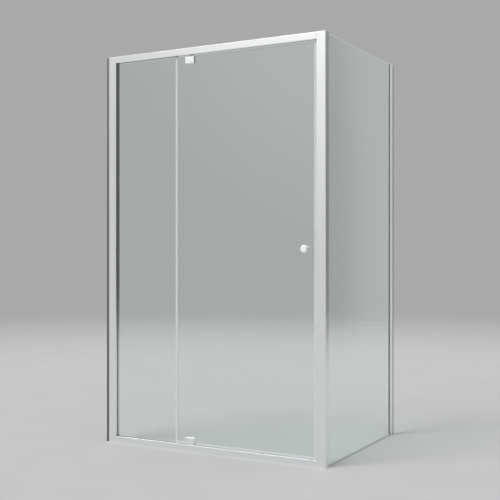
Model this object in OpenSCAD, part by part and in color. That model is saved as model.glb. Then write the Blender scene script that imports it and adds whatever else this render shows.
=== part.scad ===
// Corner shower screen with a framed front, a fixed glass panel beside a pivot door, and a
// frameless glass return panel. The frame is extruded aluminium and the panes are toughened glass.
// Axes: X runs right along the front, Y runs back along the return and Z is up. Millimetres.

/* [Overall] */
// Width of the front, from the side wall to the outer face of the corner post
front_w = 1219; // [1050:1:1400]
// Depth of the return, from the front face to the rear wall
return_d = 878; // [750:1:1000]
// Height of the screen
screen_h = 1950; // [1850:10:2100]
// Thickness of the toughened glass
glass_t = 6; // [5:0.5:8]

/* [Frame sections] */
// Depth of the front frame, front to back
frame_d = 34; // [31:0.5:40]
// Face width of the side jamb
jamb_w = 43; // [40:0.5:50]
// Face width of the corner post
post_w = 47; // [42:0.5:56]
// Face height of the top rail and of the sill
rail_h = 31; // [28:0.5:38]
// Side face of the rear jamb, front to back
rear_face = 40; // [36:0.5:50]
// Width of the rear jamb, seen from the front
rear_w = 16; // [15:0.5:20]
// Wall thickness of the extrusions
wall_t = 1.6; // [1.2:0.1:2]
// Depth of the glazing pockets
pocket_d = 14; // [12:0.5:15]
// Small radius on the outer edges of the extrusions
edge_r = 1; // [0.5:0.1:1.5]
// Radius of the post's outer front edge
post_r = 4; // [3:0.5:5]
// Thickness of the post's snap-on side cover
cover_t = 2; // [1.6:0.1:2.5]
// Thickness of the end caps on the uprights
cap_t = 1.5; // [1:0.5:3]
// Gap between the wall and the edge of a jamb, where the wall channel shows
wall_gap = 16; // [14:1:20]
// How far a wall channel reaches into its jamb
channel_in = 18; // [14:0.5:19]

/* [Glazing] */
// Thickness of the glazing gasket on each side of the glass
gasket_t = 2; // [1.5:0.25:2.5]
// Gap between an edge of glass and the floor of its pocket
edge_gap = 3; // [2.5:0.25:4]
// Thickness of the gasket's web over the edge of the glass
web_t = 1; // [0.5:0.25:1.5]
// How far the gaskets show beyond the pockets
gasket_lip = 1; // [0.5:0.25:2]
// Length of a setting block under the fixed pane
block_len = 60; // [40:5:100]
// Ground bevel on the edges of the glass
arris = 0.6; // [0.3:0.1:1]
// How far the top of the return pane stands below the top of the frame
return_drop = 4; // [2:0.5:10]
// Thickness of the strip under the return pane
floor_strip_t = 3; // [2:0.5:5]
// Height of the strip's lips beside the return pane
floor_strip_lip = 4; // [2:0.5:8]

/* [Fixed panel and door] */
// Distance from the side wall to the door edge of the fixed panel
fixed_w = 420; // [300:1:500]
// Gap between the fixed panel and the hinge edge of the door
hinge_gap = 2; // [1.5:0.25:4]
// Distance from the hinge edge of the door to the pivot axis
pivot_inset = 76; // [60:1:90]
// Gap between the closing edge of the door and the post
strike_gap = 10; // [9:0.5:13]
// Gap between the top of the door and the rail
door_top_gap = 10; // [8:0.5:14]
// Gap between the bottom of the door and the sill
door_bottom_gap = 4; // [3.5:0.25:6]

/* [Seals] */
// Thickness of the plastic seals' legs
seal_t = 1.2; // [0.8:0.1:1.6]
// How far the seals grip over the glass
seal_grip = 7; // [5:0.5:10]
// How far the fixed panel's seal laps in front of the door
seal_lap = 2.5; // [1.5:0.25:4]
// Side of a magnet across the gap
magnet_t = 2.4; // [1.8:0.1:2.6]
// Side of a magnet front to back
magnet_w = 6; // [4:0.5:7]
// Wall of the tubes that hold the magnets
tube_t = 0.8; // [0.6:0.1:1]
// Width of the tongue that holds the post's seal
tongue_w = 3; // [2:0.25:4]
// Depth of the tongue that holds the post's seal
tongue_d = 3; // [2:0.25:5]
// Thickness of the wiper under the door
wiper_t = 1.4; // [1:0.2:2]
// Depth of the infill strips that close the pockets over the doorway
infill_d = 11; // [8:0.5:12]

/* [Pivots] */
// Width of a pivot block
block_w = 51; // [46:1:60]
// Height of a pivot block
block_h = 33; // [31:1:40]
// Thickness of a pivot block's outer body
block_t = 10; // [8:0.5:12]
// Width of a pivot block's back plate, on the inside of the door
plate_w = 36; // [34:1:44]
// Thickness of the back plate
plate_t = 6; // [5.5:0.5:8]
// Bevel on the edges of a pivot block
block_bevel = 1.5; // [0.5:0.25:2.5]
// Thickness of the pad between a plate and the glass
pad_t = 1; // [0.5:0.25:1.5]
// Width of the boss that passes through the notch in the glass
boss_w = 22; // [20:1:26]
// Height of the boss
boss_h = 27; // [26:0.5:29]
// How far the boss enters the back plate
boss_in = 3; // [2:0.5:3.5]
// Room between the boss and the notch in the glass
notch_gap = 1; // [0.5:0.25:2]
// Corner radius of the notch in the glass
notch_r = 5; // [4:0.5:6]
// Radius of a pivot pin
pin_r = 5; // [4:0.25:5.5]
// Length of a pivot pin inside its block
pin_in = 16; // [12:0.5:17]
// Running clearance between a pin and its bush, on the radius
pin_clear = 0.06; // [0.02:0.01:0.1]
// Radius of a pivot bush
bush_r = 8; // [7.5:0.25:9]
// Radius of a bush's flange
flange_r = 11; // [10:0.5:13]
// Thickness of the top bush's flange
flange_top_t = 2; // [1:0.5:4]
// Thickness of the bottom bush's flange, which carries the door
flange_low_t = 1.5; // [1:0.25:2.5]
// Radius of the screws that clamp a pivot block
clamp_r = 2; // [1.5:0.25:2.25]
// Radius of their countersunk heads
clamp_head_r = 4; // [3:0.25:4.5]
// Distance between the two clamping screws of a block
clamp_pitch = 12; // [10:0.5:12]
// Height of the clamping screws above the boss's inner end
clamp_rise = 5; // [4.5:0.25:6]
// Length of a clamping screw
clamp_len = 17; // [13:0.5:20]

/* [Knob] */
// Distance from the knob to the closing edge of the door
knob_inset = 45; // [36:1:60]
// Height of the knob above the floor
knob_z = 978; // [900:1:1050]
// Radius of the knob
knob_r = 17; // [15:0.5:20]
// Length of the knob
knob_len = 32; // [28:1:40]
// Radius of the knob's foot
knob_foot_r = 12; // [11:0.5:13]
// Thickness of the rim of the knob's foot
knob_foot_t = 1.6; // [1:0.2:3]
// Radius of the knob's neck
knob_neck_r = 10; // [8:0.5:11]
// Length of the knob's head
knob_head_len = 18; // [12:0.5:20]
// Edge radius of the knob's head
knob_edge_r = 3; // [2:0.25:5]
// Radius of the stud that joins the knob and the inner button
stud_r = 3; // [2.5:0.25:3.5]
// How far the stud screws into the knob
stud_in = 14; // [8:0.5:16]
// Radius of the knob's hole in the glass
glass_hole_r = 6; // [5:0.25:7]
// Radius of the inner button
button_r = 12; // [10:0.5:14]
// Height of the inner button
button_len = 8; // [7.5:0.25:12]
// Edge radius of the inner button
button_edge_r = 2.5; // [1:0.25:3]
// How far the stud screws into the inner button
button_in = 6; // [4:0.25:6.5]

/* [Screws] */
// Radius of the self-tapping frame screws
screw_r = 2; // [1.75:0.05:2.1]
// Radius of a frame screw's head
screw_head_r = 3.6; // [3.2:0.1:3.8]
// Height of a frame screw's head
screw_head_h = 2.6; // [2:0.1:3]
// Length of the screws that join the frame's corners
corner_screw_len = 19; // [14:0.5:25]
// Length of the screws that lock a jamb on its wall channel
lock_screw_len = 9; // [7:0.5:9]
// Distance from a frame face to the axis of a screw port
port_inset = 5.8; // [5.6:0.1:6.1]
// Radius of a screw port's wall
port_r = 4.4; // [4.3:0.05:4.5]
// Radius of the wall fixing holes in the channels
wall_hole_r = 2.5; // [2:0.25:3]
// Height of the lowest wall fixing hole
wall_hole_low = 150; // [100:10:250]
// Height of the lowest locking screw
lock_low_z = 90; // [60:5:96]
// Width of a cross recess in a screw head
recess_w = 0.9; // [0.6:0.1:1.1]

/* [Clearances] */
// Sliding clearance between a wall channel and its jamb, on each side
slip = 0.3; // [0.2:0.05:0.4]
// Air between a moving seal and the face it passes
seal_air = 0.5; // [0.35:0.05:0.8]
// Air between the door's bottom block and its bush
thrust_air = 0.3; // [0.15:0.05:0.4]
// Clearance of a screw in a drilled hole, on the radius
hole_clear = 0.05; // [0.02:0.01:0.1]

/* [Hidden] */
$fn = 64;
// overlap that keeps a cut from ending on the face it opens
eps = 1;
// front of the knob ahead of the frame, which sets the middle of the whole depth
knob_reach = pad_t + knob_len - (frame_d - glass_t) / 2;
left_x = -front_w / 2;
right_x = front_w / 2;
front_y = -(return_d - knob_reach) / 2;
back_y = front_y + frame_d;
wall_y = front_y + return_d;
mid_y = front_y + frame_d / 2;
glass_y0 = mid_y - glass_t / 2;
glass_y1 = mid_y + glass_t / 2;
slot_w = glass_t + 2 * gasket_t;
slot_y0 = mid_y - slot_w / 2;
slot_y1 = mid_y + slot_w / 2;
// uprights
jamb_x0 = left_x + wall_gap;
jamb_x1 = jamb_x0 + jamb_w;
post_x0 = right_x - post_w;
upright_h = screen_h - cap_t;
channel_h = upright_h - slip;
channel_d = wall_gap + channel_in;
// top rail and sill
rail_z0 = screen_h - rail_h;
port_zs = [port_inset, rail_h - port_inset];
// return side
glass_x1 = right_x - cover_t - gasket_t;
glass_x0 = glass_x1 - glass_t;
slot_x1 = right_x - cover_t;
slot_x0 = slot_x1 - slot_w;
rear_x0 = right_x - rear_w;
rear_y1 = wall_y - wall_gap;
rear_y0 = rear_y1 - rear_face;
return_y0 = back_y - pocket_d + edge_gap;
return_y1 = rear_y0 + pocket_d - edge_gap;
return_top = screen_h - return_drop;
// fixed panel
pane_x0 = jamb_x1 - pocket_d + edge_gap;
pane_x1 = left_x + fixed_w - seal_t;
pane_z0 = rail_h - pocket_d + edge_gap;
pane_z1 = rail_z0 + pocket_d - edge_gap;
fixed_x1 = left_x + fixed_w;
gasket_x0 = jamb_x1 + gasket_lip;
// door
door_x0 = fixed_x1 + hinge_gap;
door_x1 = post_x0 - strike_gap;
door_z0 = rail_h + door_bottom_gap;
door_z1 = rail_z0 - door_top_gap;
pivot_x = door_x0 + pivot_inset;
low_end_z = rail_h + flange_low_t + thrust_air;
knob_x = door_x1 - knob_inset;
notch_w = boss_w + 2 * notch_gap;
notch_h = boss_h + notch_gap;
notch_far = block_h + eps;
pad_grip = 1;
pin_run = pocket_d - seal_air;
pin_tip = 1;
// strike
tube_d = magnet_t + 2 * tube_t;
tube_w = magnet_w + 2 * tube_t;
post_tube_x0 = post_x0 - tube_d;
door_tube_x1 = min(door_x1 + seal_t + tube_d, post_tube_x0 - seal_air);
stop_y0 = glass_y1 + seal_t + seal_air;
// rows of holes and screws
wall_hole_step = (screen_h - 2 * wall_hole_low) / 3;
lock_step = (screen_h - 2 * lock_low_z) / 3;
lock_inset = wall_gap + channel_in / 2;

// colours for the construction views
metal = [0.80, 0.81, 0.82];
bright = [0.88, 0.89, 0.90];
glass = [0.75, 0.86, 0.84, 0.35];
plastic = [0.85, 0.87, 0.88];
dark = [0.15, 0.15, 0.16];

// shared shapes

// flat rectangle from p to q whose corners are rounded by r: front left, front right,
// back right, back left
module plate_2d(p, q, r) {
    w = q[0] - p[0];
    d = q[1] - p[1];
    translate(p)
        difference() {
            square([w, d]);
            if (r[0] > 0) corner_cut(0, 0, 0, r[0]);
            if (r[1] > 0) corner_cut(w, 0, 90, r[1]);
            if (r[2] > 0) corner_cut(w, d, 180, r[2]);
            if (r[3] > 0) corner_cut(0, d, 270, r[3]);
        }
}

// waste outside the radius r at a corner, turned by a quarter for each next corner
module corner_cut(x, y, a, r) {
    translate([x, y])
        rotate(a)
            difference() {
                translate([-eps, -eps])
                    square([r + eps, r + eps]);
                translate([r, r])
                    circle(r);
            }
}

// flat rectangle between two corners
module rect(p, q) {
    translate(p)
        square([q[0] - p[0], q[1] - p[1]]);
}

// upright extrusion of a plan, from z0 to z1
module upright(z0, z1) {
    translate([0, 0, z0])
        linear_extrude(height = z1 - z0)
            children();
}

// extrusion along X of a section drawn as [Y, Z], from x0 to x1
module lengthwise(x0, x1) {
    translate([x0, 0, 0])
        rotate([90, 0, 90])
            linear_extrude(height = x1 - x0)
                children();
}

// extrusion along Y of a section drawn as [X, Z], from y0 to y1
module depthwise(y0, y1) {
    translate([0, y1, 0])
        rotate([90, 0, 0])
            linear_extrude(height = y1 - y0)
                children();
}

// box between two corners
module block(p, q) {
    translate(p)
        cube([q[0] - p[0], q[1] - p[1], q[2] - p[2]]);
}

// rectangle whose four corners are cut at 45 degrees by b
module bevel_2d(p, q, b) {
    polygon([[p[0] + b, p[1]], [q[0] - b, p[1]], [q[0], p[1] + b], [q[0], q[1] - b],
        [q[0] - b, q[1]], [p[0] + b, q[1]], [p[0], q[1] - b], [p[0], p[1] + b]]);
}

// box between two corners with every edge along Z and along X cut by b
module bevel_block(p, q, b) {
    intersection() {
        upright(p[2], q[2])
            bevel_2d([p[0], p[1]], [q[0], q[1]], b);
        lengthwise(p[0], q[0])
            bevel_2d([p[1], p[2]], [q[1], q[2]], b);
    }
}

// pane of glass standing along Y, with the same ground edges
module side_pane(p, q, b) {
    intersection() {
        upright(p[2], q[2])
            bevel_2d([p[0], p[1]], [q[0], q[1]], b);
        depthwise(p[1], q[1])
            bevel_2d([p[0], p[2]], [q[0], q[2]], b);
    }
}

// self-tapping screw along Z: its head stands on the plane z = 0 and its shank goes down
module tapping_screw(len) {
    difference() {
        rotate_extrude()
            polygon([[0, -len], [screw_r / 2, -len], [screw_r, screw_r - len], [screw_r, 0],
                [screw_head_r, 0], [screw_head_r, screw_head_h / 2],
                [screw_head_r / 2, screw_head_h], [0, screw_head_h]]);
        cross_recess(screw_head_h, screw_head_r);
    }
}

// cross cut into the top of a head, h above the plane
module cross_recess(h, r) {
    for (a = [0, 90])
        rotate([0, 0, a])
            translate([-r / 2, -recess_w / 2, h / 2])
                cube([r, recess_w, h]);
}

// drilled hole for a tapping screw along Z, through a wall under the plane z = 0
module screw_hole() {
    translate([0, 0, -3 * wall_t])
        cylinder(h = 4 * wall_t, r = screw_r + hole_clear);
}

// the four heights of a row of locking screws
module lock_rows() {
    for (i = [0:3])
        translate([0, 0, lock_low_z + i * lock_step])
            children();
}

// the four heights of a row of wall fixings
module wall_rows() {
    for (i = [0:3])
        translate([0, 0, wall_hole_low + i * wall_hole_step])
            children();
}

// frame that looks along -X, for screws driven towards +X, with their heads at x
module driven_right(x, y, z) {
    translate([x, y, z])
        rotate([0, -90, 0])
            children();
}

// frame for screws driven towards -X
module driven_left(x, y, z) {
    translate([x, y, z])
        rotate([0, 90, 0])
            children();
}

// frame for screws driven towards -Y, with their heads at y
module driven_front(x, y, z) {
    translate([x, y, z])
        rotate([-90, 0, 0])
            children();
}

// heights of the screw ports of the sill and of the rail
module port_heights() {
    for (z = [0, rail_z0])
        for (p = port_zs)
            translate([0, 0, z + p])
                children();
}

// side wall: channel, jamb and cap

module left_wall_channel() {
    y0 = front_y + wall_t + slip;
    y1 = back_y - wall_t - slip;
    color(metal)
        difference() {
            upright(0, channel_h)
                difference() {
                    rect([left_x, y0], [left_x + channel_d, y1]);
                    rect([left_x + wall_t, y0 + wall_t], [left_x + channel_d + eps, y1 - wall_t]);
                }
            wall_rows()
                translate([left_x - eps, mid_y, 0])
                    rotate([0, 90, 0])
                        cylinder(h = wall_t + 2 * eps, r = wall_hole_r);
            lock_rows()
                driven_front(left_x + lock_inset, back_y - slip, 0)
                    screw_hole();
        }
}

// section of the side jamb: an open back over the wall channel, and a glazing pocket
module jamb_plan() {
    web_x = jamb_x1 - pocket_d - wall_t;
    difference() {
        plate_2d([jamb_x0, front_y], [jamb_x1, back_y], [edge_r, edge_r, edge_r, edge_r]);
        rect([jamb_x0 - eps, front_y + wall_t], [web_x, back_y - wall_t]);
        rect([web_x - eps, front_y + wall_t], [jamb_x1 - wall_t, slot_y0 - wall_t]);
        rect([web_x - eps, slot_y1 + wall_t], [jamb_x1 - wall_t, back_y - wall_t]);
        rect([jamb_x1 - pocket_d, slot_y0], [jamb_x1 + eps, slot_y1]);
    }
}

module left_jamb() {
    color(bright)
        difference() {
            upright(0, upright_h)
                jamb_plan();
            lock_rows()
                driven_front(left_x + lock_inset, back_y, 0)
                    screw_hole();
            port_heights()
                driven_right(jamb_x1 - wall_t, front_y + port_inset, 0)
                    screw_hole();
        }
}

module left_jamb_cap() {
    leg_x1 = jamb_x1 - pocket_d - wall_t - slip;
    leg_x0 = left_x + channel_d + slip;
    color(bright) {
        upright(upright_h, screen_h)
            plate_2d([jamb_x0, front_y], [jamb_x1, back_y], [edge_r, edge_r, edge_r, edge_r]);
        block([leg_x0, slot_y0, upright_h - pocket_d], [leg_x1, slot_y1, upright_h + cap_t / 2]);
    }
}

// section of the top rail as [Y, Z] with its pocket opening down, from z = 0 up to rail_h
module rail_section() {
    difference() {
        plate_2d([front_y, 0], [back_y, rail_h], [edge_r, edge_r, edge_r, edge_r]);
        rect([slot_y0, -eps], [slot_y1, pocket_d]);
        difference() {
            union() {
                rect([front_y + wall_t, pocket_d + wall_t], [back_y - wall_t, rail_h - wall_t]);
                rect([front_y + wall_t, wall_t], [slot_y0 - wall_t, rail_h - wall_t]);
                rect([slot_y1 + wall_t, wall_t], [back_y - wall_t, rail_h - wall_t]);
            }
            for (p = port_zs)
                translate([front_y + port_inset, p])
                    circle(port_r);
            rect([front_y, 0], [front_y + port_inset, port_inset]);
            rect([front_y, rail_h - port_inset], [front_y + port_inset, rail_h]);
        }
        for (p = port_zs)
            translate([front_y + port_inset, p])
                circle(screw_r + hole_clear);
    }
}

// seat drilled for a pivot bush, up from z = 0 at the mouth of the pocket
module bush_seat() {
    translate([pivot_x, mid_y, -eps])
        cylinder(h = pocket_d + eps, r = bush_r + hole_clear);
}

module rail_body() {
    difference() {
        lengthwise(jamb_x1, post_x0)
            rail_section();
        bush_seat();
    }
}

module top_rail() {
    color(bright)
        translate([0, 0, rail_z0])
            rail_body();
}

module sill() {
    color(bright)
        translate([0, 0, rail_h])
            mirror([0, 0, 1])
                rail_body();
}

// corner post

// outline of the post with its cover on
module post_outline() {
    plate_2d([post_x0, front_y], [right_x, back_y], [edge_r, post_r, edge_r, edge_r]);
}

module post_plan() {
    cover_x = right_x - post_r;
    tongue_y0 = mid_y - tongue_w / 2 - slip;
    tongue_y1 = mid_y + tongue_w / 2 + slip;
    tongue_x1 = post_x0 + tongue_d + slip;
    wall_x = slot_x0 - wall_t;
    pocket_y = back_y - pocket_d;
    difference() {
        post_outline();
        // hollow in front of the return pocket and beside it
        difference() {
            union() {
                rect([post_x0 + wall_t, front_y + wall_t], [slot_x1, pocket_y - wall_t]);
                rect([post_x0 + wall_t, front_y + wall_t], [wall_x, back_y - wall_t]);
            }
            rect([post_x0, tongue_y0 - wall_t], [tongue_x1 + wall_t, tongue_y1 + wall_t]);
        }
        // keyway for the tongue of the strike seal
        rect([post_x0 - eps, tongue_y0], [tongue_x1, tongue_y1]);
        // pocket for the return pane
        rect([slot_x0, pocket_y], [right_x + eps, back_y + eps]);
        // seat of the snap-on cover
        rect([cover_x, front_y - eps], [right_x + eps, front_y + cover_t]);
        rect([slot_x1, front_y - eps], [right_x + eps, back_y + eps]);
    }
}

module corner_post() {
    color(bright)
        difference() {
            upright(0, upright_h)
                post_plan();
            port_heights()
                driven_left(post_x0 + wall_t, front_y + port_inset, 0)
                    screw_hole();
        }
}

module post_side_cover() {
    cover_x = right_x - post_r;
    leg_t = cover_t / 2;
    color(bright)
        upright(0, upright_h) {
            difference() {
                intersection() {
                    post_outline();
                    rect([cover_x, front_y], [right_x, back_y]);
                }
                rect([cover_x - eps, front_y + cover_t], [slot_x1, back_y + eps]);
            }
            // legs that snap in behind the front wall and against the pocket
            rect([slot_x1 - pocket_d / 2, front_y + cover_t],
                [slot_x1 + leg_t, front_y + cover_t + leg_t]);
            rect([slot_x1 - pocket_d / 2, back_y - pocket_d - wall_t - leg_t],
                [slot_x1 + leg_t, back_y - pocket_d - wall_t]);
        }
}

module post_cap() {
    plug_x0 = post_x0 + corner_screw_len / 2;
    plug_x1 = slot_x0 - pocket_d / 2;
    color(bright) {
        upright(upright_h, screen_h)
            post_outline();
        block([plug_x0, front_y + wall_t + slip, upright_h - pocket_d],
            [plug_x1, back_y - pocket_d - wall_t, upright_h + cap_t / 2]);
    }
}

// rear wall: channel, jamb and cap

module rear_wall_channel() {
    x0 = rear_x0 + wall_t + slip;
    x1 = right_x - wall_t - slip;
    color(metal)
        difference() {
            upright(0, channel_h)
                difference() {
                    rect([x0, wall_y - channel_d], [x1, wall_y]);
                    rect([x0 + wall_t, wall_y - channel_d - eps], [x1 - wall_t, wall_y - wall_t]);
                }
            wall_rows()
                translate([(x0 + x1) / 2, wall_y + eps, 0])
                    rotate([90, 0, 0])
                        cylinder(h = wall_t + 2 * eps, r = wall_hole_r);
            lock_rows()
                driven_right(rear_x0 + slip, wall_y - lock_inset, 0)
                    screw_hole();
        }
}

module rear_jamb_outline() {
    plate_2d([rear_x0, rear_y0], [right_x, rear_y1], [edge_r, cover_t, edge_r, edge_r]);
}

module rear_jamb() {
    color(bright)
        difference() {
            upright(0, upright_h)
                difference() {
                    rear_jamb_outline();
                    rect([slot_x0, rear_y0 - eps], [slot_x1, rear_y0 + pocket_d]);
                    rect([rear_x0 + wall_t, rear_y0 + pocket_d + wall_t],
                        [right_x - wall_t, rear_y1 + eps]);
                }
            lock_rows()
                driven_right(rear_x0, wall_y - lock_inset, 0)
                    screw_hole();
        }
}

module rear_jamb_cap() {
    leg_y0 = rear_y0 + pocket_d + wall_t + slip;
    leg_y1 = wall_y - channel_d - slip;
    color(bright) {
        upright(upright_h, screen_h)
            rear_jamb_outline();
        block([slot_x0, leg_y0, upright_h - pocket_d],
            [right_x - wall_t - slip, leg_y1, upright_h + cap_t / 2]);
    }
}

// frame fastenings

module frame_screws() {
    color(metal)
        port_heights() {
            driven_right(jamb_x1 - wall_t, front_y + port_inset, 0)
                tapping_screw(corner_screw_len);
            driven_left(post_x0 + wall_t, front_y + port_inset, 0)
                tapping_screw(corner_screw_len);
        }
}

module channel_lock_screws() {
    color(metal)
        lock_rows() {
            driven_front(left_x + lock_inset, back_y, 0)
                tapping_screw(lock_screw_len);
            driven_right(rear_x0, wall_y - lock_inset, 0)
                tapping_screw(lock_screw_len);
        }
}

// fixed panel

module fixed_glass() {
    color(glass)
        bevel_block([pane_x0, glass_y0, pane_z0], [pane_x1, glass_y1, pane_z1], arris);
}

// section of a glazing gasket drawn for a vertical edge: the glass lies to the right of x = 0,
// its middle is at y = 0, and the legs reach to x = grip
module gasket_2d(grip) {
    difference() {
        rect([-web_t, -slot_w / 2], [grip, slot_w / 2]);
        rect([0, -glass_t / 2], [grip + eps, glass_t / 2]);
    }
}

module fixed_glass_gaskets() {
    grip = pocket_d - edge_gap + gasket_lip;
    color(dark) {
        upright(pane_z0, pane_z1)
            translate([pane_x0, mid_y])
                gasket_2d(grip);
        lengthwise(gasket_x0 + slip, pane_x1)
            translate([mid_y, pane_z0])
                rotate(90)
                    gasket_2d(grip);
        lengthwise(gasket_x0 + slip, pane_x1)
            translate([mid_y, pane_z1])
                rotate(-90)
                    gasket_2d(grip);
    }
}

module setting_blocks() {
    quarter = (pane_x1 - gasket_x0) / 4;
    color(dark)
        for (x = [gasket_x0 + quarter, pane_x1 - quarter])
            block([x - block_len / 2, slot_y0, rail_h - pocket_d],
                [x + block_len / 2, slot_y1, pane_z0 - web_t]);
}

// clip-on seal on the free edge of the fixed pane, with a lap in front of the door
module fixed_edge_seal() {
    color(plastic)
        upright(rail_h + gasket_lip, rail_z0 - gasket_lip) {
            difference() {
                rect([pane_x1 - seal_grip, glass_y0 - seal_t], [fixed_x1, glass_y1 + seal_t]);
                rect([pane_x1 - seal_grip - eps, glass_y0], [pane_x1, glass_y1]);
            }
            rect([fixed_x1 - seal_t, glass_y0 - seal_air - seal_t],
                [door_x0 + seal_lap, glass_y0 - seal_air]);
        }
}

// infill strips over the doorway, on each side of a bush, with their faces in the plane z = 0
module infills() {
    for (x = [[fixed_x1 + seal_air, pivot_x - bush_r - seal_air],
            [pivot_x + bush_r + seal_air, post_x0 - seal_air]])
        lengthwise(x[0], x[1])
            difference() {
                rect([slot_y0, 0], [slot_y1, infill_d]);
                rect([slot_y0 + wall_t, wall_t], [slot_y1 - wall_t, infill_d + eps]);
            }
}

module rail_infills() {
    color(dark)
        translate([0, 0, rail_z0])
            infills();
}

module sill_infills() {
    color(metal)
        translate([0, 0, rail_h])
            mirror([0, 0, 1])
                infills();
}

// pivots: bushes in the frame

// bush with its flange on the plane z = 0 and its body going up into the pocket
module bush(flange_t) {
    depth = pocket_d - slip;
    difference() {
        union() {
            cylinder(h = depth, r = bush_r);
            translate([0, 0, -flange_t])
                cylinder(h = flange_t, r = flange_r);
        }
        translate([0, 0, -flange_t - eps])
            cylinder(h = flange_t + eps + depth - slip, r = pin_r + pin_clear);
    }
}

module top_pivot_bush() {
    color(plastic)
        translate([pivot_x, mid_y, rail_z0])
            bush(flange_top_t);
}

module bottom_pivot_bush() {
    color(plastic)
        translate([pivot_x, mid_y, rail_h])
            mirror([0, 0, 1])
                bush(flange_low_t);
}

// pivots: clamps on the door, drawn with the pin axis on Z and the block's outer end at z = 0

// rectangle from p to q with its two lower corners rounded by r
module tongue_2d(p, q, r) {
    plate_2d(p, q, [r, r, 0, 0]);
}

// the notch in the glass, seen from the front
module notch_2d() {
    tongue_2d([-notch_w / 2, -notch_h], [notch_w / 2, notch_far], notch_r);
}

// the boss, seen from the front, or its recess with room round it and open at the top
module boss_2d(room, top) {
    tongue_2d([-boss_w / 2 - room, -boss_h - room], [boss_w / 2 + room, top],
        notch_r - notch_gap + room);
}

// positions of the two clamping screws, on the outer face of the back plate
module clamp_places() {
    y = glass_t / 2 + pad_t + plate_t;
    for (x = [-clamp_pitch / 2, clamp_pitch / 2])
        translate([x, y, clamp_rise - boss_h])
            rotate([-90, 0, 0])
                children();
}

// countersunk screw down from z = 0
module clamp_screw() {
    difference() {
        rotate_extrude()
            polygon([[0, -clamp_len], [clamp_r, -clamp_len], [clamp_r, clamp_r - clamp_head_r],
                [clamp_head_r, 0], [0, 0]]);
        translate([0, 0, -clamp_r])
            cross_recess(clamp_r, clamp_r * 2);
    }
}

// room for a clamping screw
module clamp_hole() {
    wide_r = clamp_head_r + hole_clear;
    rotate_extrude()
        polygon([[0, -clamp_len - hole_clear], [clamp_r + hole_clear, -clamp_len - hole_clear],
            [clamp_r + hole_clear, clamp_r - clamp_head_r], [wide_r, 0], [wide_r, eps], [0, eps]]);
}

// body: the outer plate and the boss that carries the pin
module pivot_body() {
    face_y = -glass_t / 2 - pad_t;
    difference() {
        union() {
            bevel_block([-block_w / 2, face_y - block_t, -block_h], [block_w / 2, face_y, 0],
                block_bevel);
            depthwise(face_y - block_bevel - eps, glass_t / 2 + pad_t + boss_in)
                boss_2d(0, 0);
        }
        translate([0, 0, -pin_in])
            cylinder(h = pin_in + eps, r = pin_r + hole_clear);
        clamp_places()
            clamp_hole();
    }
}

module pivot_back_plate() {
    face_y = glass_t / 2 + pad_t;
    difference() {
        bevel_block([-plate_w / 2, face_y, -block_h], [plate_w / 2, face_y + plate_t, 0],
            block_bevel);
        depthwise(face_y - eps, face_y + boss_in + slip)
            boss_2d(slip, eps);
        clamp_places()
            clamp_hole();
    }
}

// pads between the plates and the glass, cut out round the notch; z1 is the glass edge
module pivot_pads(z1) {
    for (side = [[-glass_t / 2 - pad_t, block_w], [glass_t / 2, plate_w]]) {
        half = side[1] / 2 - block_bevel - pad_grip;
        depthwise(side[0], side[0] + pad_t)
            difference() {
                rect([-half, block_bevel + pad_grip - block_h], [half, z1]);
                notch_2d();
            }
    }
}

module pivot_screws() {
    clamp_places()
        clamp_screw();
}

// pin from inside the block, past the gap and into the bush
module pivot_pin(gap) {
    top = gap + pin_run;
    rotate_extrude()
        polygon([[0, -pin_in], [pin_r, -pin_in], [pin_r, top - pin_tip], [pin_r - pin_tip, top],
            [0, top]]);
}

module at_top_pivot() {
    translate([pivot_x, mid_y, door_z1])
        children();
}

module at_low_pivot() {
    translate([pivot_x, mid_y, low_end_z])
        mirror([0, 0, 1])
            children();
}

module top_pivot_body() {
    color(bright)
        at_top_pivot()
            pivot_body();
}

module top_pivot_back_plate() {
    color(bright)
        at_top_pivot()
            pivot_back_plate();
}

module top_pivot_pads() {
    color(dark)
        at_top_pivot()
            pivot_pads(0);
}

module top_pivot_screws() {
    color(metal)
        at_top_pivot()
            pivot_screws();
}

module top_pivot_pin() {
    color(metal)
        at_top_pivot()
            pivot_pin(door_top_gap - slip);
}

module bottom_pivot_body() {
    color(bright)
        at_low_pivot()
            pivot_body();
}

module bottom_pivot_back_plate() {
    color(bright)
        at_low_pivot()
            pivot_back_plate();
}

module bottom_pivot_pads() {
    color(dark)
        at_low_pivot()
            pivot_pads(low_end_z - door_z0);
}

module bottom_pivot_screws() {
    color(metal)
        at_low_pivot()
            pivot_screws();
}

module bottom_pivot_pin() {
    color(metal)
        at_low_pivot()
            pivot_pin(low_end_z - rail_h - slip);
}

// door

module door_glass() {
    color(glass)
        difference() {
            bevel_block([door_x0, glass_y0, door_z0], [door_x1, glass_y1, door_z1], arris);
            at_top_pivot()
                depthwise(-glass_t, glass_t)
                    notch_2d();
            at_low_pivot()
                depthwise(-glass_t, glass_t)
                    notch_2d();
            translate([knob_x, mid_y - glass_t, knob_z])
                rotate([-90, 0, 0])
                    cylinder(h = 2 * glass_t, r = glass_hole_r);
        }
}

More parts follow.
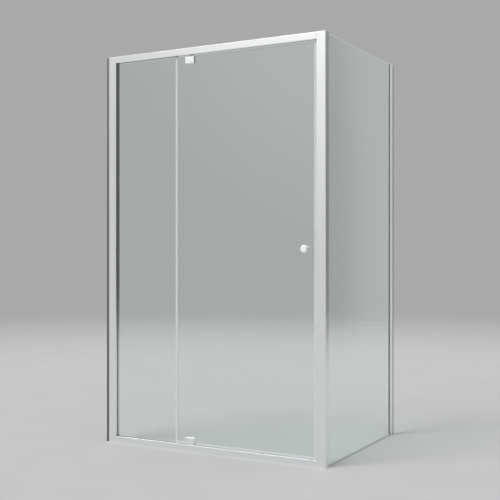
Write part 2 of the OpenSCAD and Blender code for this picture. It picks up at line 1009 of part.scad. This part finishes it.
// knob with its foot on the plane z = 0 and its face up
module knob() {
    head_z = knob_len - knob_head_len;
    difference() {
        rotate_extrude()
            difference() {
                union() {
                    polygon([[0, 0], [knob_foot_r, 0], [knob_foot_r, knob_foot_t],
                        [knob_neck_r, 2 * knob_foot_t], [knob_neck_r, head_z / 2],
                        [knob_r - knob_edge_r, head_z], [knob_r - knob_edge_r, knob_len],
                        [0, knob_len]]);
                    rect([0, head_z + knob_edge_r], [knob_r, knob_len - knob_edge_r]);
                    for (z = [head_z + knob_edge_r, knob_len - knob_edge_r])
                        translate([knob_r - knob_edge_r, z])
                            circle(knob_edge_r);
                }
                rect([-knob_r, -eps], [0, knob_len + eps]);
            }
        translate([0, 0, -eps])
            cylinder(h = stud_in + eps + slip, r = stud_r + hole_clear);
    }
}

// low button with its foot on the plane z = 0, on the inner end of the stud
module button() {
    rim = button_r - button_edge_r;
    top = button_len - button_edge_r;
    difference() {
        rotate_extrude() {
            rect([0, 0], [button_r, top]);
            rect([0, 0], [rim, button_len]);
            translate([rim, top])
                circle(button_edge_r);
        }
        translate([0, 0, -eps])
            cylinder(h = button_in + eps + slip, r = stud_r + hole_clear);
    }
}

module at_outer_knob() {
    translate([knob_x, glass_y0 - pad_t, knob_z])
        rotate([90, 0, 0])
            children();
}

module at_inner_button() {
    translate([knob_x, glass_y1 + pad_t, knob_z])
        rotate([-90, 0, 0])
            children();
}

module outer_knob() {
    color(bright)
        at_outer_knob()
            knob();
}

module inner_button() {
    color(bright)
        at_inner_button()
            button();
}

module knob_stud() {
    color(metal)
        at_outer_knob()
            translate([0, 0, -glass_t - 2 * pad_t - button_in])
                cylinder(h = glass_t + 2 * pad_t + stud_in + button_in, r = stud_r);
}

module ring(h, outer, inner) {
    difference() {
        cylinder(h = h, r = outer);
        translate([0, 0, -eps])
            cylinder(h = h + 2 * eps, r = inner);
    }
}

module knob_sleeve() {
    color(plastic)
        at_outer_knob()
            translate([0, 0, -glass_t - pad_t])
                ring(glass_t, glass_hole_r - hole_clear, stud_r + hole_clear);
}

module knob_washers() {
    color(plastic)
        for (z = [-pad_t, -glass_t - 2 * pad_t])
            at_outer_knob()
                translate([0, 0, z])
                    ring(pad_t, min(knob_foot_r, button_r), stud_r + hole_clear);
}

// strike: the door's closing edge and the post each carry a magnet in a plastic seal

// tube for a magnet, from x0 to x1 about the middle plane
module tube_2d(x0, x1) {
    difference() {
        rect([x0, mid_y - tube_w / 2], [x1, mid_y + tube_w / 2]);
        rect([x0 + tube_t, mid_y - magnet_w / 2], [x1 - tube_t, mid_y + magnet_w / 2]);
    }
}

module door_strike_seal() {
    tube_x0 = door_tube_x1 - tube_d;
    color(plastic)
        upright(door_z0, door_z1) {
            difference() {
                rect([door_x1 - seal_grip, glass_y0 - seal_t],
                    [tube_x0 + tube_t / 2, glass_y1 + seal_t]);
                rect([door_x1 - seal_grip - eps, glass_y0], [door_x1, glass_y1]);
            }
            tube_2d(tube_x0, door_tube_x1);
        }
}

module door_magnet() {
    x0 = door_tube_x1 - tube_t - magnet_t;
    color(dark)
        block([x0, mid_y - magnet_w / 2, door_z0],
            [x0 + magnet_t, mid_y + magnet_w / 2, door_z1]);
}

module post_strike_seal() {
    color(plastic)
        upright(rail_h, rail_z0) {
            tube_2d(post_tube_x0, post_x0);
            rect([post_x0 - tube_t, mid_y - tongue_w / 2], [post_x0 + tongue_d, mid_y + tongue_w / 2]);
            // stop behind the door, joined to the tube at the post
            rect([post_x0 - tube_t, mid_y], [post_x0, stop_y0 + seal_t]);
            rect([door_x1 - seal_grip / 2, stop_y0], [post_x0, stop_y0 + seal_t]);
        }
}

module post_magnet() {
    x0 = post_tube_x0 + tube_t;
    color(dark)
        block([x0, mid_y - magnet_w / 2, rail_h],
            [x0 + magnet_t, mid_y + magnet_w / 2, rail_z0]);
}

// seal on the bottom edge of the door, with a wiper over the sill
module door_bottom_seal() {
    base_z = door_z0 - seal_t;
    half = block_w / 2 + seal_air;
    color(plastic)
        for (x = [[door_x0 + seal_lap + seal_air, pivot_x - half],
                [pivot_x + half, door_x1 - seal_grip - slip]])
            lengthwise(x[0], x[1]) {
                difference() {
                    rect([glass_y0 - seal_t, base_z], [glass_y1 + seal_t, door_z0 + seal_grip]);
                    rect([glass_y0, door_z0], [glass_y1, door_z0 + seal_grip + eps]);
                }
                rect([mid_y - wiper_t / 2, rail_h + seal_air], [mid_y + wiper_t / 2, door_z0]);
            }
}

// return panel

module return_glass() {
    color(glass)
        side_pane([glass_x0, return_y0, floor_strip_t], [glass_x1, return_y1, return_top], arris);
}

module return_glass_gaskets() {
    grip = pocket_d - edge_gap + gasket_lip;
    x = (glass_x0 + glass_x1) / 2;
    color(dark)
        upright(floor_strip_t, return_top) {
            translate([x, return_y0])
                rotate(90)
                    gasket_2d(grip);
            translate([x, return_y1])
                rotate(-90)
                    gasket_2d(grip);
        }
}

module return_floor_strip() {
    lip = gasket_t / 2;
    color(plastic)
        depthwise(back_y + gasket_lip, rear_y0 - gasket_lip)
            difference() {
                rect([glass_x0 - lip, 0], [glass_x1 + lip, floor_strip_t + floor_strip_lip]);
                rect([glass_x0, floor_strip_t], [glass_x1, floor_strip_t + floor_strip_lip + eps]);
            }
}

left_wall_channel();
left_jamb();
left_jamb_cap();
top_rail();
sill();
corner_post();
post_side_cover();
post_cap();
rear_wall_channel();
rear_jamb();
rear_jamb_cap();
frame_screws();
channel_lock_screws();
fixed_glass();
fixed_glass_gaskets();
setting_blocks();
fixed_edge_seal();
rail_infills();
sill_infills();
top_pivot_bush();
bottom_pivot_bush();
post_strike_seal();
post_magnet();
return_glass();
return_glass_gaskets();
return_floor_strip();
door_glass();
top_pivot_body();
top_pivot_back_plate();
top_pivot_pads();
top_pivot_screws();
top_pivot_pin();
bottom_pivot_body();
bottom_pivot_back_plate();
bottom_pivot_pads();
bottom_pivot_screws();
bottom_pivot_pin();
outer_knob();
inner_button();
knob_stud();
knob_sleeve();
knob_washers();
door_strike_seal();
door_magnet();
door_bottom_seal();
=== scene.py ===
# Looks of the corner shower screen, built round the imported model. Metres, in the row frame.
import math

import bmesh
import bpy
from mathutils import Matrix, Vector


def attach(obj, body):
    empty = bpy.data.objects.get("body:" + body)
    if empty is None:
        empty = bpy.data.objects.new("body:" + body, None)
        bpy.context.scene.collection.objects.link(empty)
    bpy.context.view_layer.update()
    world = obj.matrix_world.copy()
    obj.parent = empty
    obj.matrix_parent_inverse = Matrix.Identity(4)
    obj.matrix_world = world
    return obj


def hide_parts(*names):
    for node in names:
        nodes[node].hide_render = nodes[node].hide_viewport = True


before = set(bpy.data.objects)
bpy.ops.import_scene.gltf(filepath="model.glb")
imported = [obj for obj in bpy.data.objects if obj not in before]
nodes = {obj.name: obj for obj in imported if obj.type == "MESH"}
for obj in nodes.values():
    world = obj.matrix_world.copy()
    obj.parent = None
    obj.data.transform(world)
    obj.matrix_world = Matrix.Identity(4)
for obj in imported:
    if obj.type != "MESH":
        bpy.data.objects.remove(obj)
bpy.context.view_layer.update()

MM = 0.001
X, Y, Z = 0, 1, 2
WHITE = (1.0, 1.0, 1.0)

# Camera: the photograph's viewing angle, level, from the front right of the post
CAMERA_AT = (2.2625, -4.1375, 0.973)
CAMERA_TURN = 28.8
CAMERA_LENS = 65.48
CAMERA_SENSOR = 36

# Two soft suns that shine towards the middle of the object, each as broad as this angle
MIDDLE = (0, 0, 0.9)
SUN_FROM, SUN_STRENGTH = (-1.5, -3.0, 3.7), 2.0
FILL_FROM, FILL_STRENGTH = (2.0, -1.5, 5.0), 0.3
SUN_ANGLE = 40

# Floor: its size, its tones, and how far from the middle it starts to fade out and is gone
FLOOR_RADIUS = 14
FLOOR_DARK, FLOOR_LIGHT = (0.54, 0.54, 0.537), (0.56, 0.56, 0.557)
FLOOR_FADE = (3.0, 10.0)

# World: the plain backdrop, and the light that it gives
BACKDROP, BACKDROP_TINT = 0.40, (0.992, 0.996, 1.0)
WORLD_LIGHT = 0.55

# Studio that metal and plastic mirror: its grey, and its level behind, in front, at the right and
# overhead. One level passes into the next between these parts of a direction along Y, X and Z.
STUDIO_GREY = (0.8, 0.8, 0.8)
STUDIO_BACK, STUDIO_FRONT, STUDIO_RIGHT, STUDIO_TOP = 1.0, 0.84, 0.5, 1.0
TO_FRONT, TO_RIGHT, TO_TOP = (0.4, -0.5), (0.42, 0.75), (0.35, 0.9)

# Its cards, in degrees: full and gone are the angles from the middle of a card where it is at full
# strength and where it ends, and tall is how many times taller than wide it is
GLOW = dict(strength=1.13, azimuth=199.6, elevation=17.5, full=8, gone=19, tall=1)
DIM = dict(strength=0.17, azimuth=33.5, elevation=0, full=8.5, gone=12, tall=2.5)
DARK = dict(strength=0.01, azimuth=30, elevation=0, full=5.5, gone=9, tall=4)

# What the panes mirror instead: an even level and one gleam
PANE_LEVEL = 0.50
GLEAM = dict(strength=2.0, azimuth=197, elevation=20, full=3, gone=22, tall=1)

# Noise: the part of its range that is used, and its own roughness
NOISE_SPAN = (0.3, 0.7)
NOISE_ROUGHNESS = 0.55

# Meshes: how close points are one point, how nearly flat faces are one face, and from what angle
# an edge is rounded, in how many steps
WELD_WITHIN = 1e-6
FLAT_WITHIN = math.radians(1)
ROUND_ABOVE = math.radians(30)
ROUND_STEPS = 2

# Panes: the width of the polished arris, from what angle in radians an edge has one, and how far
# along the thickness the normal of a clear face points
ARRIS = 0.15 * MM
ARRIS_ABOVE = 0.4
CLEAR_NORMAL = 0.95

# Refractive indices, and the share of a ground edge that light comes through
GLASS_IOR, SEAL_IOR = 1.5, 1.46
EDGE_THROUGH = 0.65


# Node helpers

def rgba(colour):
    """A colour as its socket takes it."""
    return (*colour, 1)


def add_node(tree, kind, inputs, **settings):
    """A node with these settings. Each input, by name or number, gets a value or an output."""
    node = tree.nodes.new(kind)
    for key, value in settings.items():
        setattr(node, key, value)
    for key, value in inputs.items():
        if isinstance(value, bpy.types.NodeSocket):
            tree.links.new(value, node.inputs[key])
        else:
            node.inputs[key].default_value = value
    return node


def calculate(tree, operation, first, second):
    """The result of an operation on two numbers."""
    return add_node(tree, "ShaderNodeMath", {0: first, 1: second}, operation=operation).outputs[0]


def calculate_vectors(tree, operation, *vectors):
    """The outputs of an operation on one or two vectors."""
    return add_node(tree, "ShaderNodeVectorMath", dict(enumerate(vectors)),
                    operation=operation).outputs


def passing(tree, value, span, low, high, shape="SMOOTHSTEP"):
    """Goes from low to high as the value goes from the start of the span to its end."""
    inputs = {"Value": value, "From Min": span[0], "From Max": span[1],
              "To Min": low, "To Max": high}
    return add_node(tree, "ShaderNodeMapRange", inputs, interpolation_type=shape).outputs["Result"]


def mixed(tree, share, first, second):
    """The first shader at a share of 0, and the second at a share of 1."""
    return add_node(tree, "ShaderNodeMixShader",
                    {"Fac": share, 1: first, 2: second}).outputs["Shader"]


def noise(tree, scale, detail=3.0):
    """A noise texture in the row frame, with scale features per metre along X, Y and Z."""
    place = add_node(tree, "ShaderNodeTexCoord", {}).outputs["Object"]
    stretched = add_node(tree, "ShaderNodeMapping", {"Vector": place, "Scale": scale})
    return add_node(tree, "ShaderNodeTexNoise", {
        "Vector": stretched.outputs["Vector"], "Scale": 1.0, "Detail": detail,
        "Roughness": NOISE_ROUGHNESS}).outputs["Fac"]


def tones(tree, pattern, dark, light):
    """A colour between dark and light."""
    ramp = add_node(tree, "ShaderNodeValToRGB", {"Fac": pattern})
    for end, position, colour in zip(ramp.color_ramp.elements, NOISE_SPAN, (dark, light)):
        end.position = position
        end.color = rgba(colour)
    return ramp.outputs["Color"]


# Materials

def new_material(name, **values):
    """A material with one Principled shader whose sockets get the values given."""
    mat = bpy.data.materials.new(name)
    mat.use_nodes = True
    shader = mat.node_tree.nodes["Principled BSDF"]
    for key, value in values.items():
        shader.inputs[key.replace("_", " ")].default_value = value
    return mat, mat.node_tree, shader


def show(tree, shader):
    """Makes this shader the material's surface."""
    tree.links.new(shader, tree.nodes["Material Output"].inputs["Surface"])


def finish_of(name, grain, dark, light, rough, relief, **values):
    """A surface whose colour, roughness and relief, in metres, all follow one noise pattern."""
    mat, tree, shader = new_material(name, **values)
    pattern = noise(tree, grain)
    roughness = passing(tree, pattern, NOISE_SPAN, *rough, shape="LINEAR")
    bumps = add_node(tree, "ShaderNodeBump",
                     {"Strength": 1.0, "Distance": relief, "Height": pattern})
    tree.links.new(tones(tree, pattern, dark, light), shader.inputs["Base Color"])
    tree.links.new(roughness, shader.inputs["Roughness"])
    tree.links.new(bumps.outputs["Normal"], shader.inputs["Normal"])
    return mat


def streaks(axis, across, along):
    """The grain of drawn metal or plastic, which runs along one axis."""
    grain = [across] * 3
    grain[axis] = along
    return grain


def glass_of(name, dark, light, through):
    """Glass that light shines through: shadow and diffuse rays meet a plain tint instead."""
    mat, tree, shader = new_material(name, Roughness=0.0, IOR=GLASS_IOR, Transmission_Weight=1.0)
    tree.links.new(tones(tree, noise(tree, (7, 7, 5), detail=2.0), dark, light),
                   shader.inputs["Base Color"])
    clear = add_node(tree, "ShaderNodeBsdfTransparent", {"Color": rgba(through)})
    ray = add_node(tree, "ShaderNodeLightPath", {}).outputs
    plain = calculate(tree, "MAXIMUM", ray["Is Shadow Ray"], ray["Is Diffuse Ray"])
    show(tree, mixed(tree, plain, shader.outputs["BSDF"], clear.outputs["BSDF"]))
    return mat


def ground_edge(name, dark, light):
    """Ground glass on the edge of a pane, which scatters the light that comes through it."""
    mat = finish_of(name, (240, 240, 240), dark, light, rough=(0.28, 0.42), relief=1e-5,
                    IOR=GLASS_IOR)
    tree = mat.node_tree
    ground = tree.nodes["Principled BSDF"]
    glow = add_node(tree, "ShaderNodeBsdfTranslucent", {"Color": rgba(light)})
    show(tree, mixed(tree, EDGE_THROUGH, ground.outputs["BSDF"], glow.outputs["BSDF"]))
    return mat


CHROME_TONES = dict(dark=(0.84, 0.85, 0.86), light=(0.89, 0.90, 0.91))

ALUMINIUM = [
    finish_of(f"frame_aluminium_{letter}", streaks(axis, 2600, 6), dark=(0.80, 0.81, 0.82),
              light=(0.84, 0.85, 0.86), rough=(0.16, 0.22), relief=6e-7, Metallic=1.0)
    for axis, letter in enumerate("xyz")]
# Wall channels: aluminium in a dull dark grey, which is painted shade of the gap between frame and
# wall
CHANNEL_PAINTED_SHADE = finish_of(
    "channel_aluminium_z", streaks(Z, 1800, 5), dark=(0.14, 0.145, 0.15),
    light=(0.18, 0.185, 0.19), rough=(0.36, 0.46), relief=1.5e-6, Metallic=1.0)
CHROME = finish_of(
    "hardware_chrome", (60, 60, 60), **CHROME_TONES, rough=(0.21, 0.26), relief=1e-6,
    Metallic=1.0)
SATIN = finish_of(
    "knob_chrome", (90, 90, 90), **CHROME_TONES, rough=(0.36, 0.41), relief=1e-6, Metallic=1.0)
STEEL = finish_of(
    "stainless_steel", (800, 800, 800), dark=(0.58, 0.57, 0.55), light=(0.68, 0.67, 0.65),
    rough=(0.22, 0.34), relief=3e-6, Metallic=1.0)
RUBBER = finish_of(
    "glazing_rubber", (420, 420, 420), dark=(0.040, 0.040, 0.042), light=(0.060, 0.060, 0.062),
    rough=(0.48, 0.62), relief=2.5e-5)
# A lighter grey copy of the black glazing rubber: painted light on the fixed pane's gaskets
RUBBER_PAINTED_LIGHT = finish_of(
    "grey_gasket_painted_light", (420, 420, 420), dark=(0.135, 0.135, 0.137), light=(0.165, 0.165, 0.167),
    rough=(0.48, 0.62), relief=2.5e-5)
SEAL = [
    finish_of(f"seal_plastic_{letter}", streaks(axis, 1400, 12), dark=(0.64, 0.66, 0.665),
              light=(0.68, 0.70, 0.705), rough=(0.22, 0.32), relief=2e-6, IOR=SEAL_IOR,
              Transmission_Weight=0.15)
    for axis, letter in enumerate("xyz")]
NYLON = finish_of(
    "bush_nylon", (520, 520, 520), dark=(0.70, 0.70, 0.68), light=(0.77, 0.77, 0.75),
    rough=(0.38, 0.50), relief=1.5e-5)
MAGNET = finish_of(
    "magnet_strip", (340, 340, 40), dark=(0.045, 0.038, 0.034), light=(0.075, 0.066, 0.060),
    rough=(0.45, 0.60), relief=2e-5)
GLASS = glass_of("clear_glass", dark=(0.925, 0.964, 0.955), light=(0.937, 0.970, 0.962),
                 through=(0.92, 0.955, 0.945))
GLASS_EDGE = ground_edge("clear_glass_edge", dark=(0.78, 0.90, 0.85), light=(0.88, 0.97, 0.93))


# Objects

def add_object(name, data):
    """An object in the scene with this mesh, light or camera."""
    obj = bpy.data.objects.new(name, data)
    bpy.context.scene.collection.objects.link(obj)
    return obj


def mesh_of(bm, name):
    """A mesh of bm's shape, which frees bm."""
    mesh = bpy.data.meshes.new(name)
    bm.to_mesh(mesh)
    bm.free()
    return mesh


def soften(obj, radius):
    """Rounds the sharp edges of a CAD node by modifiers: its own mesh stays as it is."""
    mesh = obj.data
    for attribute in ("custom_normal", "sharp_face", "sharp_edge"):
        if attribute in mesh.attributes:
            mesh.attributes.remove(mesh.attributes[attribute])
    mesh.shade_smooth()
    weld = obj.modifiers.new("weld", "WELD")
    weld.merge_threshold = WELD_WITHIN
    flat = obj.modifiers.new("flat", "DECIMATE")
    flat.decimate_type = "DISSOLVE"
    flat.angle_limit = FLAT_WITHIN
    edges = obj.modifiers.new("edges", "BEVEL")
    edges.width = radius
    edges.segments = ROUND_STEPS
    edges.limit_method = "ANGLE"
    edges.angle_limit = ROUND_ABOVE
    edges.use_clamp_overlap = False
    obj.modifiers.new("normals", "WEIGHTED_NORMAL")


def pane(name, body, thickness):
    """A pane with clear faces and ground, arrised edges, in place of the CAD node."""
    bm = bmesh.new()
    bm.from_mesh(nodes[name].data)
    bmesh.ops.remove_doubles(bm, verts=bm.verts, dist=WELD_WITHIN)
    bmesh.ops.dissolve_limit(bm, angle_limit=FLAT_WITHIN, verts=bm.verts, edges=bm.edges)
    for face in bm.faces:
        face.material_index = 0 if abs(face.normal[thickness]) > CLEAR_NORMAL else 1
    sharp = [edge for edge in bm.edges
             if len(edge.link_faces) == 2 and edge.calc_face_angle() > ARRIS_ABOVE]
    bmesh.ops.bevel(bm, geom=sharp, offset=ARRIS, segments=ROUND_STEPS, affect="EDGES",
                    profile=0.5, clamp_overlap=True, material=1)
    mesh = mesh_of(bm, name + "_piece")
    mesh.shade_smooth()
    mesh.materials.append(GLASS)
    mesh.materials.append(GLASS_EDGE)
    piece = add_object(name + "_piece", mesh)
    piece.modifiers.new("normals", "WEIGHTED_NORMAL")
    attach(piece, body)
    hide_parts(name)


pane("fixed_glass", "frame", Y)
pane("door_glass", "door", Y)
pane("return_glass", "frame", X)

# Carried-over nodes: name, edge radius in mm, material
DRESS = [
    # The wall channels' dark grey is painted shade between frame and wall
    ("left_wall_channel", 0.15, CHANNEL_PAINTED_SHADE),
    ("rear_wall_channel", 0.15, CHANNEL_PAINTED_SHADE),
    ("left_jamb", 0.25, ALUMINIUM[Z]),
    ("corner_post", 0.25, ALUMINIUM[Z]),
    ("post_side_cover", 0.25, ALUMINIUM[Z]),
    ("rear_jamb", 0.25, ALUMINIUM[Z]),
    ("top_rail", 0.25, ALUMINIUM[X]),
    ("sill", 0.25, ALUMINIUM[X]),
    ("left_jamb_cap", 0.4, ALUMINIUM[Y]),
    ("post_cap", 0.4, ALUMINIUM[Y]),
    ("rear_jamb_cap", 0.4, ALUMINIUM[Y]),
    ("frame_screws", 0.08, STEEL),
    ("channel_lock_screws", 0.08, STEEL),
    ("top_pivot_screws", 0.1, STEEL),
    ("bottom_pivot_screws", 0.1, STEEL),
    ("top_pivot_pin", 0.2, STEEL),
    ("bottom_pivot_pin", 0.2, STEEL),
    ("knob_stud", 0.2, STEEL),
    ("top_pivot_body", 0.25, CHROME),
    ("top_pivot_back_plate", 0.25, CHROME),
    ("bottom_pivot_body", 0.25, CHROME),
    ("bottom_pivot_back_plate", 0.25, CHROME),
    ("outer_knob", 0.25, SATIN),
    ("inner_button", 0.25, SATIN),
    ("top_pivot_pads", 0.15, RUBBER),
    ("bottom_pivot_pads", 0.15, RUBBER),
    ("setting_blocks", 0.3, RUBBER),
    # The top rail's fillers are black where the sill's are aluminium: painted shade under the rail
    ("rail_infills", 0.3, RUBBER),
    ("sill_infills", 0.3, ALUMINIUM[X]),
    # The fixed pane's gaskets are the grey copy, painted light; the return's are the black rubber
    ("fixed_glass_gaskets", 0.4, RUBBER_PAINTED_LIGHT),
    ("return_glass_gaskets", 0.4, RUBBER),
    ("top_pivot_bush", 0.3, NYLON),
    ("bottom_pivot_bush", 0.3, NYLON),
    ("knob_sleeve", 0.15, NYLON),
    ("knob_washers", 0.2, NYLON),
    ("fixed_edge_seal", 0.3, SEAL[Z]),
    ("post_strike_seal", 0.2, SEAL[Z]),
    ("door_strike_seal", 0.2, SEAL[Z]),
    ("door_bottom_seal", 0.3, SEAL[X]),
    ("return_floor_strip", 0.4, SEAL[Y]),
    ("post_magnet", 0.2, MAGNET),
    ("door_magnet", 0.2, MAGNET),
]
for name, radius, finish in DRESS:
    soften(nodes[name], radius * MM)
    nodes[name].data.materials.clear()
    nodes[name].data.materials.append(finish)


# Camera, floor, world and suns

def add_camera():
    data = bpy.data.cameras.new("camera")
    data.lens = CAMERA_LENS
    data.sensor_width = CAMERA_SENSOR
    obj = add_object("camera", data)
    obj.location = CAMERA_AT
    obj.rotation_euler = (math.radians(90), 0, math.radians(CAMERA_TURN))
    bpy.context.scene.camera = obj


def add_floor():
    """A plain pale floor that fades into the backdrop."""
    bm = bmesh.new()
    bmesh.ops.create_circle(bm, cap_ends=True, radius=FLOOR_RADIUS, segments=96)
    mat, tree, shader = new_material("floor", Roughness=0.9, Specular_IOR_Level=0.05)
    grain = noise(tree, (3, 3, 3), detail=4.0)
    tree.links.new(tones(tree, grain, FLOOR_DARK, FLOOR_LIGHT), shader.inputs["Base Color"])
    place = add_node(tree, "ShaderNodeTexCoord", {}).outputs["Object"]
    distance = calculate_vectors(tree, "LENGTH", place)["Value"]
    clear = add_node(tree, "ShaderNodeBsdfTransparent", {})
    show(tree, mixed(tree, passing(tree, distance, FLOOR_FADE, 0.0, 1.0),
                     shader.outputs["BSDF"], clear.outputs["BSDF"]))
    mesh = mesh_of(bm, "floor")
    mesh.materials.append(mat)
    add_object("floor", mesh)


def card(tree, towards, level, strength, azimuth, elevation, full, gone, tall):
    """The level with a soft round or upright card on it, which stands in that direction."""
    azimuth, elevation = math.radians(azimuth), math.radians(elevation)
    middle = (math.sin(azimuth) * math.cos(elevation), math.cos(azimuth) * math.cos(elevation),
              math.sin(elevation))
    squeezed = calculate_vectors(tree, "MULTIPLY", towards, (1, 1, 1 / tall))["Vector"]
    unit = calculate_vectors(tree, "NORMALIZE", squeezed)["Vector"]
    nearness = calculate_vectors(tree, "DOT_PRODUCT", unit, middle)["Value"]
    span = (math.cos(math.radians(gone)), math.cos(math.radians(full)))
    return passing(tree, nearness, span, level, strength)


def add_world():
    """An even light. The camera sees the backdrop, and what is mirrored is the studio."""
    world = bpy.data.worlds.new("studio")
    bpy.context.scene.world = world
    world.use_nodes = True
    tree = world.node_tree
    towards = add_node(tree, "ShaderNodeTexCoord", {}).outputs["Generated"]
    part = add_node(tree, "ShaderNodeSeparateXYZ", {"Vector": towards}).outputs
    level = passing(tree, part["Y"], TO_FRONT, STUDIO_BACK, STUDIO_FRONT)
    level = passing(tree, part["X"], TO_RIGHT, level, STUDIO_RIGHT)
    level = passing(tree, part["Z"], TO_TOP, level, STUDIO_TOP)
    for values in (GLOW, DIM, DARK):
        level = card(tree, towards, level, **values)
    on_panes = card(tree, towards, PANE_LEVEL, **GLEAM)

    ray = add_node(tree, "ShaderNodeLightPath", {}).outputs
    sharp = calculate(tree, "MULTIPLY", ray["Is Singular Ray"], ray["Is Reflection Ray"])
    seen = calculate(tree, "MAXIMUM", ray["Is Camera Ray"], ray["Is Transmission Ray"])
    mirrored = calculate(tree, "MINIMUM", ray["Glossy Depth"], 1)

    light = tree.nodes["Background"]
    light.inputs["Color"].default_value = rgba(WHITE)
    light.inputs["Strength"].default_value = WORLD_LIGHT
    backdrop = add_node(tree, "ShaderNodeBackground",
                        {"Color": rgba(BACKDROP_TINT), "Strength": BACKDROP})
    studio = add_node(tree, "ShaderNodeBackground", {
        "Color": rgba(STUDIO_GREY),
        "Strength": passing(tree, sharp, (0, 1), level, on_panes, shape="LINEAR")})
    shader = light.outputs["Background"]
    shader = mixed(tree, seen, shader, backdrop.outputs["Background"])
    shader = mixed(tree, mirrored, shader, studio.outputs["Background"])
    tree.links.new(shader, tree.nodes["World Output"].inputs["Surface"])


def add_sun(name, at, energy):
    """A broad soft light that shines from at towards the middle of the object."""
    data = bpy.data.lights.new(name, "SUN")
    data.energy = energy
    data.angle = math.radians(SUN_ANGLE)
    obj = add_object(name, data)
    obj.location = at
    obj.rotation_mode = "QUATERNION"
    obj.rotation_quaternion = (Vector(MIDDLE) - obj.location).to_track_quat("-Z", "Y")


add_camera()
add_floor()
add_world()
add_sun("key", SUN_FROM, SUN_STRENGTH)
add_sun("fill", FILL_FROM, FILL_STRENGTH)
bpy.context.scene.view_settings.view_transform = "Standard"
